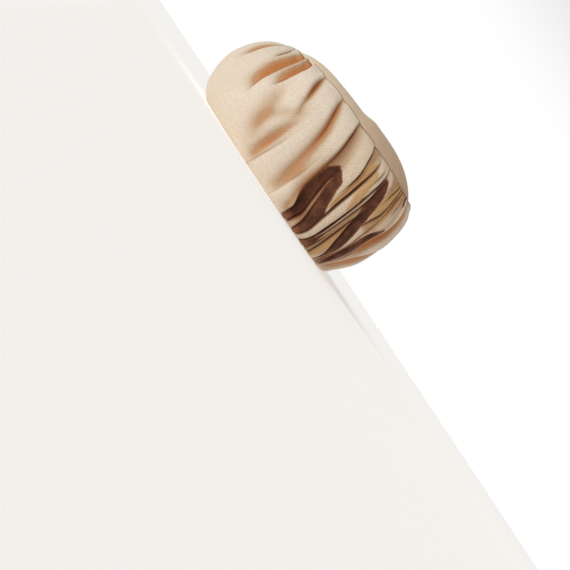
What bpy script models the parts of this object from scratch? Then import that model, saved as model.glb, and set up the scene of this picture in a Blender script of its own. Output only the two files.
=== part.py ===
"""Soft pillbox hat of draped silk crepe, standing rim down.

Three pieces of cloth make it: a domed crown tip, a side drape pleated into the
crown seam and turned in at the rim, and a gathered printed panel that fills the
gap in the drape at the wearer's left back.

Metres, +Z up. The flat edge of the rim lies on z = 0, with the origin under the
middle of the hat. The wearer faces -Y, and the wearer's left is +X. A place on
the side is given by its turn, in degrees from the wearer's left round by the
back, and by its rise, 0 at the rim and 1 at the crown seam.
"""
import math
from collections import namedtuple

import bmesh
import bpy
import numpy as np

MM = 0.001

# Cloth and seams, millimetres
CLOTH = 1.2                # thickness of the doubled crepe
GAP = 0.4                  # clearance between two pieces of cloth
RIM_EDGE = 2.6             # width of the flat edge that the hat rests on
HEM_HEIGHT = 14.0          # cloth turned up inside the rim
HEM_LEAN = 1.2             # how far the hem leans in at its free edge
RIM_ROUND = 1.0            # height at which the hem leaves the rounded rim
RIM_SETTLE = 0.08          # the folds flatten out below this rise
SEAM_SETTLE = 0.90         # and towards the seam above this one,
SEAM_SHARE = 0.40          # where this share of them is left
ROLL = 1.9                 # radius of the cloth where it rolls over into the seam
SEAM_ALLOWANCE = 6.0       # cloth turned down inside the crown seam
TUCK = 4.0                 # how far the printed panel runs under the drape
AXIS_X = -1.0              # where the hat's axis stands, from the origin
AXIS_Y = 1.7
MM_PER_DEGREE = 1.66       # length along the side of one degree of turn

# Crown tip, millimetres above the seam
TIP_RISE = 12.8
TIP_FULLNESS = 4.6         # power of the dome: higher is flatter on top
TIP_PUFF = 4.6             # extra height of the cushion behind the middle
TIP_PUFF_BACK = 30.0       # how far behind the axis the puff is highest
TIP_PUFF_WIDTH = 46.0
TIP_FOLD = 2.4             # height of the soft fold across the cushion
TIP_FOLD_START = -6.0      # it rises between these places, front to back
TIP_FOLD_END = 5.0
TIP_RINGS = (0.97, 0.91, 0.82, 0.69, 0.50, 0.26)
TIP_COLUMNS = 56
TIP_LEVEL_POWER = 4        # puff and fold fade with this power of the radius

# Outline of the side from rim to crown seam, millimetres: radius and height at
# the front, the two sides and the back
Section = namedtuple("Section", "front_r front_z side_r side_z back_r back_z")
SECTIONS = (
    Section(84.4, 0.0, 81.6, 0.0, 85.6, 0.0),
    Section(90.3, 3.9, 86.2, 3.8, 88.6, 3.5),
    Section(95.0, 8.6, 89.4, 8.6, 91.0, 8.8),
    Section(99.2, 16.8, 93.0, 17.0, 94.6, 17.6),
    Section(102.2, 26.5, 95.8, 27.4, 97.6, 28.6),
    Section(103.1, 36.4, 97.0, 38.8, 99.2, 41.0),
    Section(101.8, 46.4, 96.6, 50.0, 99.6, 52.6),
    Section(98.2, 58.0, 94.3, 61.6, 98.2, 64.0),
    Section(92.8, 67.4, 90.4, 71.8, 95.6, 74.6),
    Section(86.6, 73.8, 85.4, 79.8, 91.0, 83.6),
    Section(81.4, 78.0, 79.8, 84.8, 84.4, 89.8),
)

# Folds of the side. The four numbers of each bracket hold at FOLD_RISES, from
# the seam down to the rim: the fold's turn in degrees, the depth of its groove
# and how far its front side laps over its back side, in millimetres. A negative
# groove is a ridge. Reach is how far the fold is felt to either side.
FOLD_RISES = (1.0, 0.7, 0.35, 0.0)
Fold = namedtuple("Fold", "name turn groove lap reach")
DRAPE_FOLDS = (
    Fold("back_hollow", (67, 61, 59, 67), (1.0, 2.8, 2.4, 0.4), (0.0, 0.0, 0.4, 0.0), 5.0),
    Fold("back_pleat", (83, 80, 79, 82), (1.8, 1.4, 0.6, 0.3), (1.0, 0.8, 0.4, 0.0), 7.0),
    Fold("front_pleat", (276, 277, 276, 274), (1.6, 1.2, 0.5, 0.3), (-0.8, -0.6, 0.0, 0.0), 8.0),
    Fold("front_soft", (291, 297, 296, 294), (1.6, 1.8, 0.6, 0.0), (-0.6, -0.6, 0.0, 0.0), 7.0),
    Fold("front_deep", (309, 317, 316, 315), (2.2, 4.0, 0.8, 0.0), (-1.2, -1.6, -0.4, 0.0), 6.0),
    Fold("front_hollow", (318, 323, 332, 338), (3.0, 2.8, 1.8, 0.3), (-1.2, -1.0, 0.0, 0.0), 7.0),
    Fold("left_pleat", (330, 341, 347, 347), (3.0, 1.2, 1.2, 0.3), (1.4, 0.6, -1.0, -0.6), 6.0),
    Fold("left_valley", (346, 354, 359, 361), (2.2, 2.0, 2.4, 0.6), (1.8, 1.0, 0.2, 0.0), 7.0),
    Fold("left_ridge", (352, 360.5, 365, 365), (0.0, -0.8, -1.2, -0.4), (0.0, 0.0, 0.0, 0.4), 4.0),
)
PANEL_FOLDS = (
    Fold("under_drape", (7, 9, 12.5, 21), (0.0, 0.0, 1.2, 1.2), (0.0, 0.0, 0.6, 0.4), 3.0),
    Fold("first_gather", (14, 18, 23, 27), (2.4, 1.6, 1.4, 1.2), (2.0, 1.6, 0.4, 0.0), 4.0),
    Fold("second_gather", (22, 23, 26, 32), (0.6, 1.8, 1.6, 1.2), (0.4, 0.4, 0.6, 0.0), 2.6),
    Fold("light_lobe", (28, 30.5, 32, 36), (1.6, 2.2, 2.2, 1.0), (2.2, 1.8, 0.6, 0.4), 3.2),
    Fold("rim_gather", (33, 33.8, 35, 41.5), (0.6, 0.4, 1.0, 1.2), (0.0, 0.0, 0.4, 0.0), 2.4),
    Fold("third_gather", (39, 37, 38, 47), (1.4, 1.0, 1.2, 1.2), (0.6, 0.4, 0.6, 0.4), 3.0),
    Fold("fourth_gather", (48, 44, 46, 56), (1.8, 1.8, 1.6, 1.0), (1.0, -1.0, 0.8, 0.0), 4.0),
)
# Borders where the drape laps over the printed panel
FRONT_BORDER = Fold("front_border", (0, 6, 9.5, 17), (0, 0, 0, 0), (2.2, 2.8, 2.8, 0.6), 9.0)
BACK_BORDER = Fold("back_border", (58, 55, 53, 63), (0, 0, 0, 0), (-2.2, -2.8, -2.8, -0.6), 7.0)

# Plain soft pleats round the far side, from the back to the front
FAR_PLEATS = 11
FAR_FIRST_TURN = 98.0
FAR_LAST_TURN = 262.0
FAR_LEAN = 5.0             # degrees that a pleat leans on its way down
FAR_GROOVE = (2.4, 1.7, 0.9, 0.3)
FAR_LAP = (1.2, 0.8, 0.3, 0.0)
FAR_REACH = 7.0
FAR_VARIETY = 0.35         # share by which the pleats differ from each other

# Mesh rows of the side, as rises, and mesh columns between two folds
SIDE_RISES = (0.0, 0.07, 0.16, 0.29, 0.43, 0.57, 0.70, 0.82, 0.92, 1.0)
FULL_LAP_RISES = (0.10, 0.94)      # the borders keep their whole lap between these
TUCK_RISES = (0.24, 0.80)          # the panel runs under the drape between these
COLUMN_PITCH = 6.8                 # mm
FOLD_EDGE = 1.3                    # width of the step where one fold laps another
ROLL_STEPS = 3                     # rows over the roll at the seam
SLOPE_STEP = 0.004                 # rise over which the side's slope is read

MATERIALS = {
    # piece: sRGB colour, roughness
    "crown_tip": ((0.82, 0.73, 0.62), 0.62),
    "side_drape": ((0.90, 0.81, 0.73), 0.58),
    "printed_panel": ((0.62, 0.47, 0.36), 0.60),
}


def clear_scene():
    for item in list(bpy.data.objects):
        bpy.data.objects.remove(item, do_unlink=True)


def smooth_through(places, values, at):
    """Smooth curve through values at rising places, read at any places between."""
    places = np.asarray(places, float)
    values = np.asarray(values, float)
    slopes = np.gradient(values, places, axis=0)
    at = np.clip(np.asarray(at, float), places[0], places[-1])
    k = np.clip(np.searchsorted(places, at, side="right") - 1, 0, len(places) - 2)
    span = places[k + 1] - places[k]
    u = (at - places[k]) / span
    if values.ndim == 2:
        u = u[..., None]
        span = span[..., None]
    ends = (2 * u**3 - 3 * u**2 + 1) * values[k] + (3 * u**2 - 2 * u**3) * values[k + 1]
    bends = (u**3 - 2 * u**2 + u) * slopes[k] + (u**3 - u**2) * slopes[k + 1]
    return ends + bends * span


def ease(value, start, end):
    """0 before start, 1 after end, smooth between."""
    u = np.clip((value - start) / (end - start), 0.0, 1.0)
    return u * u * (3.0 - 2.0 * u)


def section_rises():
    """Rise of each row of SECTIONS, by the mean length of the three outlines."""
    table = np.array(SECTIONS).reshape(len(SECTIONS), 3, 2)
    steps = np.linalg.norm(np.diff(table, axis=0), axis=2).mean(axis=1)
    along = np.concatenate([[0.0], np.cumsum(steps)])
    return along / along[-1]


def blend_round(front, side, back, turn):
    """Value at a turn, from the values at the front, the sides and the back."""
    y = np.sin(np.radians(turn))
    lengthwise = y * y
    return side * (1 - lengthwise) + np.where(y < 0, front, back) * lengthwise


def outline_point(turn, rise):
    """Radius and height of the smooth side."""
    row = smooth_through(section_rises(), np.array(SECTIONS), rise)
    radius = blend_round(row[..., 0], row[..., 2], row[..., 4], turn)
    height = blend_round(row[..., 1], row[..., 3], row[..., 5], turn)
    return np.stack([radius, height], axis=-1)


def outline(turn, rise):
    """Radius and height of the smooth side, and the direction that faces out."""
    above = outline_point(turn, np.minimum(rise + SLOPE_STEP, 1.0))
    below = outline_point(turn, np.maximum(rise - SLOPE_STEP, 0.0))
    along = above - below
    out = np.stack([along[..., 1], -along[..., 0]], axis=-1)
    return outline_point(turn, rise), out / np.linalg.norm(out, axis=-1, keepdims=True)


def fold_value(values, rise):
    return smooth_through(FOLD_RISES[::-1], values[::-1], rise)


def far_folds():
    """Soft pleats of the side that lies behind, each a little unlike the next."""
    folds = []
    for k in range(FAR_PLEATS):
        turn = FAR_FIRST_TURN + (FAR_LAST_TURN - FAR_FIRST_TURN) * k / (FAR_PLEATS - 1)
        vary = 1 + FAR_VARIETY * math.sin(2.4 * k + 0.8)
        lean = FAR_LEAN * math.cos(math.radians(turn - 90))
        way = 1 if turn < 180 else -1
        turns = (turn, turn + 0.6 * lean, turn + lean, turn + 0.8 * lean)
        grooves = tuple(vary * depth for depth in FAR_GROOVE)
        laps = tuple(way * vary * lap for lap in FAR_LAP)
        folds.append(Fold(f"far_{k + 1}", turns, grooves, laps, FAR_REACH))
    return tuple(folds)


FAR_FOLDS = far_folds()
BORDERS = (FRONT_BORDER, BACK_BORDER)
ALL_FOLDS = DRAPE_FOLDS + PANEL_FOLDS + FAR_FOLDS + BORDERS


def fold_lap(fold, rise):
    """Lap of a fold. The borders' lap is gone at the rim and at the seam."""
    lap = fold_value(fold.lap, rise)
    if fold in BORDERS:
        low, high = FULL_LAP_RISES
        lap = lap * ease(rise, 0.0, low) * (1 - ease(rise, high, 1.0))
    return lap


def front_share(fold, away, drape):
    """1 on the front side of a fold, -1 on its back side, in between on its step.

    At a border each cloth keeps its own side, also where it runs past the border.
    """
    if fold is FRONT_BORDER:
        return 1.0 if drape else -1.0
    if fold is BACK_BORDER:
        return -1.0 if drape else 1.0
    return -np.clip(away / (0.5 * FOLD_EDGE), -1.0, 1.0)


def mean_groove(rise):
    """Mean depth of the grooves, which is given back to keep the outline's size."""
    total = sum(fold_value(fold.groove, rise) * 2 * fold.reach for fold in ALL_FOLDS)
    return total / (360.0 * MM_PER_DEGREE)


def relief(turn, rise, drape):
    """Height of the folds above the smooth side. drape says which cloth it is."""
    height = mean_groove(rise)
    for fold in ALL_FOLDS:
        degrees = (turn - fold_value(fold.turn, rise) + 180.0) % 360.0 - 180.0
        away = degrees * MM_PER_DEGREE
        step = 0.5 * fold_lap(fold, rise) * front_share(fold, away, drape)
        groove = fold_value(fold.groove, rise) * np.exp(-np.abs(away) / fold.reach)
        height = height + step * np.exp(-(away / (2 * fold.reach)) ** 2) - groove
    left = 1 - (1 - SEAM_SHARE) * ease(rise, SEAM_SETTLE, 1.0)
    return height * ease(rise, 0.0, RIM_SETTLE) * left


def columns_between(left, right):
    """Mesh columns after left, up to and with right, a little closer at the ends."""
    count = max(2, round(float(np.mean(right - left)) * MM_PER_DEGREE / COLUMN_PITCH))
    even = np.arange(1, count + 1) / count
    shares = 0.5 * (even + 0.5 - 0.5 * np.cos(math.pi * even))
    return [left + (right - left) * share for share in shares]


def side_turns(folds, rises, first, last):
    """Turns of the mesh, rows by columns, with two columns close together at a fold."""
    half = 0.5 * FOLD_EDGE / MM_PER_DEGREE
    columns = [first]
    for fold in folds:
        turn = fold_value(fold.turn, rises)
        columns += columns_between(columns[-1], turn - half)
        columns.append(turn + half)
    columns += columns_between(columns[-1], last)
    return np.stack(columns, axis=1)


def place(turn, radius, height):
    """Points in metres, from turns in degrees and radii and heights in millimetres."""
    angle = np.radians(turn)
    across = radius * np.cos(angle) + AXIS_X
    back = radius * np.sin(angle) + AXIS_Y
    return np.stack([across, back, height + 0 * turn], axis=-1) * MM


def hem_rows(turn):
    """Cloth inside the rim, from its free edge down to the flat edge of the rim."""
    inner = outline_point(turn, 0 * turn)[..., 0] - RIM_EDGE
    return [place(turn, inner - HEM_LEAN, HEM_HEIGHT),
            place(turn, inner - 0.5 * HEM_LEAN, RIM_ROUND),
            place(turn, inner, 0.0)]


def roll_centre(turn):
    """Centre of the roll that the side's cloth makes over into the seam."""
    end, out = outline(turn, 1 + 0 * turn)
    return end[..., 0] - ROLL * out[..., 0], end[..., 1] - ROLL * out[..., 1], out


def roll_rows(turn, drape):
    """Cloth that rolls over at the seam, and the seam allowance that hangs inside."""
    centre_r, centre_z, out = roll_centre(turn)
    lift = relief(turn, 1 + 0 * turn, drape)
    first = np.arctan2(out[..., 1], out[..., 0])
    rows = []
    for step in range(1, ROLL_STEPS + 1):
        share = step / ROLL_STEPS
        angle = first + (math.pi - first) * share
        height = centre_z + ROLL * np.sin(angle) + lift * (1 - share)
        rows.append(place(turn, centre_r + ROLL * np.cos(angle), height))
    rows.append(place(turn, centre_r - ROLL, centre_z - SEAM_ALLOWANCE))
    return rows


def side_rows(turns, drape):
    """All rows of a stretch of the side, from the hem's free edge to the allowance."""
    rows = hem_rows(turns[0])
    for turn, rise in zip(turns, SIDE_RISES):
        level = rise + 0 * turn
        point, out = outline(turn, level)
        lifted = point + out * relief(turn, level, drape)[..., None]
        rows.append(place(turn, lifted[..., 0], lifted[..., 1]))
    return np.array(rows + roll_rows(turns[-1], drape))


def cushion(ring, across, back):
    """Height of the soft crown tip above the seam, at a share of its radius."""
    dome = TIP_RISE * (1 - ring ** TIP_FULLNESS)
    from_puff = across ** 2 + (back - TIP_PUFF_BACK) ** 2
    puff = TIP_PUFF * np.exp(-from_puff / TIP_PUFF_WIDTH ** 2)
    fold = TIP_FOLD * (ease(back, TIP_FOLD_START, TIP_FOLD_END) - 0.5)
    return dome + (puff + fold) * (1 - ring ** TIP_LEVEL_POWER)


def tip_rows():
    """Rows of the crown tip, from its seam allowance up to the middle of the dome."""
    turn = np.linspace(0.0, 360.0, TIP_COLUMNS, endpoint=False)
    centre_r, level, _ = roll_centre(turn)
    edge = centre_r - ROLL - GAP
    half_turned = ROLL * math.sqrt(0.5)
    rows = [place(turn, edge, level - SEAM_ALLOWANCE),
            place(turn, edge, level),
            place(turn, edge - ROLL + half_turned, level + half_turned)]
    for ring in TIP_RINGS + (0.0,):
        across = edge * ring * np.cos(np.radians(turn))
        back = edge * ring * np.sin(np.radians(turn))
        seam = level * ring + np.mean(level) * (1 - ring)
        rows.append(place(turn, edge * ring, seam + ROLL + cushion(ring, across, back)))
    return np.array(rows)


def grid_mesh(name, rows, closed):
    """Mesh of quads over rows of points; closed joins the last column to the first."""
    row_count, column_count = rows.shape[:2]
    faces = []
    for i in range(row_count - 1):
        for j in range(column_count if closed else column_count - 1):
            k = (j + 1) % column_count
            low, high = i * column_count, (i + 1) * column_count
            faces.append((low + j, low + k, high + k, high + j))
    mesh = bpy.data.meshes.new(name)
    mesh.from_pydata([tuple(point) for point in rows.reshape(-1, 3)], [], faces)
    return mesh


def close_middle(mesh, ring):
    """Joins the last row, whose points all lie on the middle, to one point."""
    work = bmesh.new()
    work.from_mesh(mesh)
    work.verts.ensure_lookup_table()
    bmesh.ops.pointmerge(work, verts=work.verts[-ring:], merge_co=work.verts[-1].co)
    work.to_mesh(mesh)
    work.free()


def linear(channel):
    """sRGB channel to linear light."""
    return channel / 12.92 if channel <= 0.04045 else ((channel + 0.055) / 1.055) ** 2.4


def cloth_material(name):
    colour, roughness = MATERIALS[name]
    material = bpy.data.materials.new(name + "_cloth")
    material.use_nodes = True
    shader = material.node_tree.nodes["Principled BSDF"]
    shader.inputs["Base Color"].default_value = tuple(linear(c) for c in colour) + (1.0,)
    shader.inputs["Roughness"].default_value = roughness
    shader.inputs["Metallic"].default_value = 0.0
    return material


def add_cloth(name, mesh, collection):
    """Object of one piece of cloth, thickened inwards from its outer face."""
    item = bpy.data.objects.new(name, mesh)
    collection.objects.link(item)
    mesh.materials.append(cloth_material(name))
    mesh.shade_smooth()
    thick = item.modifiers.new("cloth_thickness", "SOLIDIFY")
    thick.thickness = CLOTH * MM
    thick.offset = -1.0
    return item


def make_crown_tip(collection):
    mesh = grid_mesh("crown_tip", tip_rows(), closed=True)
    close_middle(mesh, TIP_COLUMNS)
    return add_cloth("crown_tip", mesh, collection)


def make_side_drape(collection):
    rises = np.array(SIDE_RISES)
    first = fold_value(BACK_BORDER.turn, rises)
    last = fold_value(FRONT_BORDER.turn, rises) + 360.0
    folds = sorted(DRAPE_FOLDS + FAR_FOLDS, key=lambda fold: fold.turn[0])
    rows = side_rows(side_turns(folds, rises, first, last), drape=True)
    return add_cloth("side_drape", grid_mesh("side_drape", rows, closed=False), collection)


def make_printed_panel(collection):
    rises = np.array(SIDE_RISES)
    low, high = TUCK_RISES
    under = (rises > low) & (rises < high)
    tuck = np.where(under, TUCK, -GAP) / MM_PER_DEGREE
    first = fold_value(FRONT_BORDER.turn, rises) - tuck
    last = fold_value(BACK_BORDER.turn, rises) + tuck
    rows = side_rows(side_turns(PANEL_FOLDS, rises, first, last), drape=False)
    return add_cloth("printed_panel", grid_mesh("printed_panel", rows, closed=False), collection)


def main():
    clear_scene()
    collection = bpy.data.collections.new("pillbox_hat")
    bpy.context.scene.collection.children.link(collection)
    make_crown_tip(collection)
    make_side_drape(collection)
    make_printed_panel(collection)


main()
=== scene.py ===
"""Dresses the pillbox hat: draped silk crepe, pleated into the crown seam and
gathered and printed at the wearer's left back.

The outline repeats the CAD model's own table of sections, so that each piece of
cloth lies where its solid lies. Folds, the printed strokes and the weave are laid
on the side by turn (degrees round the hat) and rise (0 at the rim, 1 at the seam).
"""
import math
from collections import namedtuple

import bpy
import numpy as np
from mathutils import Matrix, Vector


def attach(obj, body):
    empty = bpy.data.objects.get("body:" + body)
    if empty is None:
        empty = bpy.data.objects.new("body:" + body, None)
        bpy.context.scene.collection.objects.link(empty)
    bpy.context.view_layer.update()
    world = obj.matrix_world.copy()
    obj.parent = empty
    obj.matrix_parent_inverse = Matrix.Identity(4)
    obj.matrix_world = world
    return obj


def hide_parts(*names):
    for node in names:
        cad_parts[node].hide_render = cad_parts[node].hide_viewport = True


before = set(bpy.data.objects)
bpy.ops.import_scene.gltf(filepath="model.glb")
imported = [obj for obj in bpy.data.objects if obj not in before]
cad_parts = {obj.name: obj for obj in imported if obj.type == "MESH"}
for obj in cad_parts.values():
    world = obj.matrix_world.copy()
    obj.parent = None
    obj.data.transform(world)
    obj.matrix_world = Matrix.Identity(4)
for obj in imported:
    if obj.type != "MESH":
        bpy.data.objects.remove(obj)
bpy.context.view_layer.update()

MM = 0.001

# Place and cloth sizes of the CAD model, millimetres
AXIS_X = -1.0
AXIS_Y = 1.7
RIM_EDGE = 2.6             # width of the rim's turned edge
HEM_HEIGHT = 14.0
HEM_LEAN = 1.2             # how far the hem's free edge leans in
HEM_LOW_LEAN = 0.35        # share of that lean which is left down at the rim
ROLL = 1.9                 # radius of the cloth where it rolls over into the seam
SEAM_ALLOWANCE = 6.0
GAP = 0.4                  # clearance between two pieces of cloth
MM_PER_DEGREE = 1.66       # length along the side of one degree of turn
SIDE_LENGTH = 94.2         # length of the side from rim to seam

# Finer sizes of the real cloth, millimetres
CREPE = 0.9                # thickness of the doubled crepe
RIM_ROUND = 1.35           # radius of the fold at the rim
RIM_FOOT = (0.3, 0.02)     # the rim's lowest row: inside its edge, and above the floor
DRAPE_ROUND = 1.8          # width of the rounded edge of a pleat that laps
PANEL_ROUND = 1.1          # the same in the tight gathers of the printed stretch
BORDER_ROUND = 2.2         # the same where the drape's folded edge lies on the print
LAP_REACH = 15.0           # how far a lap lifts the cloth on its two sides
SOFT_EDGE = 1.1            # the cloth's inside follows its outside this loosely
TUCK = 4.5                 # how far the printed panel runs under the drape

# Outline at the front, the side and the back, from the rim up to the seam
Section = namedtuple("Section", "front_r front_z side_r side_z back_r back_z")
SECTIONS = (
    Section(84.4, 0.0, 81.6, 0.0, 85.6, 0.0),
    Section(90.3, 3.9, 86.2, 3.8, 88.6, 3.5),
    Section(95.0, 8.6, 89.4, 8.6, 91.0, 8.8),
    Section(99.2, 16.8, 93.0, 17.0, 94.6, 17.6),
    Section(102.2, 26.5, 95.8, 27.4, 97.6, 28.6),
    Section(103.1, 36.4, 97.0, 38.8, 99.2, 41.0),
    Section(101.8, 46.4, 96.6, 50.0, 99.6, 52.6),
    Section(98.2, 58.0, 94.3, 61.6, 98.2, 64.0),
    Section(92.8, 67.4, 90.4, 71.8, 95.6, 74.6),
    Section(86.6, 73.8, 85.4, 79.8, 91.0, 83.6),
    Section(81.4, 78.0, 79.8, 84.8, 84.4, 89.8),
)

# Crown tip, millimetres: heights above the seam, and places across and back
TIP_RISE = 12.8
TIP_FULLNESS = 4.6         # power of the dome's curve; a higher one is flatter on top
TIP_SLACK = 0.7            # the real tip sags this much below the CAD model's
TIP_PUFF = 4.6             # soft swelling towards the back
TIP_PUFF_BACK = 30.0
TIP_PUFF_WIDTH = 46.0
TIP_FOLD = 3.6             # soft step in the cloth, higher behind
TIP_FOLD_BACKS = (-5.0, 10.0)
TIP_LOFT = 2.4             # lift of the tip's front edge, which lies softly on the seam
TIP_LOFT_ACROSS = 30.0
TIP_LOFT_BACK = -52.0
TIP_LOFT_WIDTH = 26.0
TIP_LOFT_POWER = 24        # how close to the seam the lift holds
TIP_LEVEL_POWER = 4        # the same for the puff and the fold
TIP_BACK_SHADE = 0.37      # painted shade on the tip, deeper towards its back, 0 to 1
TIP_SHADE_BACKS = (-70.0, 60.0)
TIP_EDGE_BEND = 40.0       # degrees that the edge turns over before the dome starts
TIP_JOIN = 3.0             # width over which the dome rises out of that edge
TIP_HOLE = 0.04            # radius at which the inner face stops short of the middle
PUCKER_HEIGHT = 0.45
PUCKER_REACH = 0.10        # share of the radius over which the puckers fade
PUCKER_START = 0.02        # share of the radius that they leave smooth at the seam

# Folds. The seven numbers of each bracket hold at FOLD_RISES, from the seam down
# to the rim: turn in degrees, depth in millimetres, and how far the front side
# laps over the back side (negative: the back side over the front one). Front and
# back are the distances that the fold reaches. A crease is pointed, a valley and
# a hollow are round, and a trough is flat.
# The last number is the share of the depth that shows as painted amber shade.
# The mesh's columns follow DRAPE_FOLDS and PANEL_FOLDS, so the folds of each table
# keep their order of turn at every rise.
FOLD_RISES = (1.0, 0.85, 0.7, 0.5, 0.3, 0.12, 0.0)
Fold = namedtuple("Fold", "name shape front back turn depth lap warmth", defaults=(1.0,))
FLAT = 7 * (0,)

# For each shape, the power of the curve by which it falls away from its middle, the
# area under that curve, and how dark a line of painted shade it draws, 0 to 1
PROFILES = {"crease": 1, "valley": 1.5, "hollow": 2, "trough": 3}
AREAS = {shape: round(math.gamma(1 + 1 / power), 3) for shape, power in PROFILES.items()}
INKS = {"crease": 1.0, "valley": 0.4, "hollow": 0.0, "trough": 0.45}

DRAPE_FOLDS = (
    Fold("back_edge", "crease", 1.0, 2.0, (60.4, 58.6, 59.4, 58.0, 60.4, 63.0, 65.0),
         (0.3, 0.3, 0.8, 2.8, 2.8, 1.8, 0.4), FLAT),
    Fold("back_gather", "hollow", 6.0, 7.0, (63.8, 64.2, 64.4, 61.6, 63.2, 65, 67),
         (1.5, 4.2, 5.0, 4.6, 1.0, 0.2, 0.1), FLAT),
    Fold("back_hollow", "hollow", 7.0, 14.0, (92, 90, 88, 80, 71.4, 69.8, 69),
         (0.8, 1.4, 2.0, 2.6, 4.0, 2.6, 0.6), (0, 0, 0, -0.5, -0.9, -0.8, -0.4), 1.05),
    Fold("back_rim", "hollow", 3.6, 6.0, (94, 93, 92, 88, 84, 76, 75),
         (0, 0, 0, 0, 0, 2.6, 1.4), FLAT, 0.7),
    Fold("front_pleat", "valley", 3.6, 5.0, (276, 277, 277, 276.5, 276, 275, 274),
         (1.6, 2.0, 1.5, 0.6, 0.4, 0.2, 0), FLAT, 1.3),
    Fold("front_soft", "hollow", 7.0, 4.5, (288, 292.6, 293.6, 294.4, 295, 295, 295),
         (0.4, 1.8, 2.9, 0.8, 0, 0, 0), FLAT, 1.3),
    Fold("front_nick", "crease", 2.6, 1.6, (297, 305.8, 308.2, 309, 310, 310, 310),
         (1.2, 2.4, 0.4, 0, 0, 0, 0), (-0.5, -0.9, -0.1, 0, 0, 0, 0)),
    Fold("front_deep", "trough", 11.0, 1.3, (310.2, 315.6, 317.3, 318.4, 319, 319, 319),
         (3.0, 5.0, 5.0, 3.0, 0.2, 0, 0), (-0.7, -1.4, -1.4, -0.6, 0, 0, 0)),
    Fold("front_oval", "trough", 10.6, 1.1, (318.0, 323.8, 324.5, 324, 324, 324, 324),
         (3.8, 5.0, 3.0, 0, 0, 0, 0), (-0.6, -1.4, -1.0, 0, 0, 0, 0)),
    Fold("left_pleat", "valley", 2.4, 3.8, (330, 334.2, 338.8, 343, 343, 342, 342),
         (1.8, 4.6, 2.1, 0.2, 0, 0, 0), (0.5, 0.5, 0.1, 0, 0, 0, 0)),
    Fold("low_step", "crease", 3.2, 2.0, (343, 347, 349.2, 349.4, 348.6, 347.2, 345.8),
         (0, 0, 0, 0.1, 0.2, 0.2, 0.1), (0, 0, 0, -0.5, -1.2, -1.3, -1.1)),
    Fold("left_valley", "valley", 3.2, 4.0, (346, 350.5, 354.8, 358.2, 360.4, 361.8, 362.4),
         (2.2, 4.0, 3.3, 1.5, 0.3, 0, 0), (0.6, 0.5, 0.2, 0, 0, 0, 0), 0.85),
    Fold("left_ridge", "crease", 3.0, 1.8, (352, 356.4, 360.8, 364, 365, 365, 365),
         FLAT, (0, 0, 0, -0.5, -1.3, -1.4, -0.9)),
)
# Broad round hollows that no pleat edge belongs to; a negative depth is a fullness
DRAPE_HOLLOWS = (
    Fold("soft_hollow", "hollow", 11.0, 7.6, (327, 327, 327, 330.6, 333.8, 335.4, 335.2),
         (0, 0.6, 1.9, 3.0, 2.9, 0.8, 0), FLAT, 0.66),
    Fold("soft_spread", "hollow", 6.0, 4.5, (346, 346, 344.5, 338.6, 333.6, 333, 333),
         (0, 0, 0.5, 1.6, 0.6, 0, 0), FLAT, 0.62),
    Fold("left_low", "hollow", 20.0, 16.0, 7 * (346,),
         (0, 0.3, 0.7, 0.8, 0.9, 1.1, 0), FLAT, 0.9),
    Fold("low_hollow", "hollow", 5.2, 2.6, (344, 345, 345.4, 345.2, 344.8, 344.2, 344),
         (0, 0, 0, 1.8, 3.0, 1.6, 0), FLAT, 0.68),
    Fold("valley_floor", "hollow", 7.4, 6.0, (350, 353.4, 356.4, 358.8, 361.4, 362.8, 363.2),
         (0, 0.4, 1.4, 2.4, 3.2, 2.2, 0), FLAT, 0.68),
    Fold("under_ridge", "hollow", 7.2, 2.0, (360.6, 362.6, 365.0, 367.2, 369.6, 374.4, 375.6),
         (0.4, 0.8, 1.0, 2.2, 3.0, 3.0, 0.6), FLAT, 1.0),
    Fold("back_fullness", "hollow", 24.0, 30.0, 7 * (86,),
         (0, 0, -0.6, -2.6, -2.7, -1.8, -1.8), FLAT, 0.0),
    Fold("front_fullness", "hollow", 30.0, 30.0, 7 * (276,),
         (0, -0.5, -1.2, -1.4, -1.0, -0.4, 0), FLAT, 0.0),
    Fold("front_low", "hollow", 12.0, 10.0, (300, 300, 303, 306, 308, 309, 309),
         (0, 0, 0, 0.5, 0.6, 0.2, 0), FLAT),
)
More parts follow.
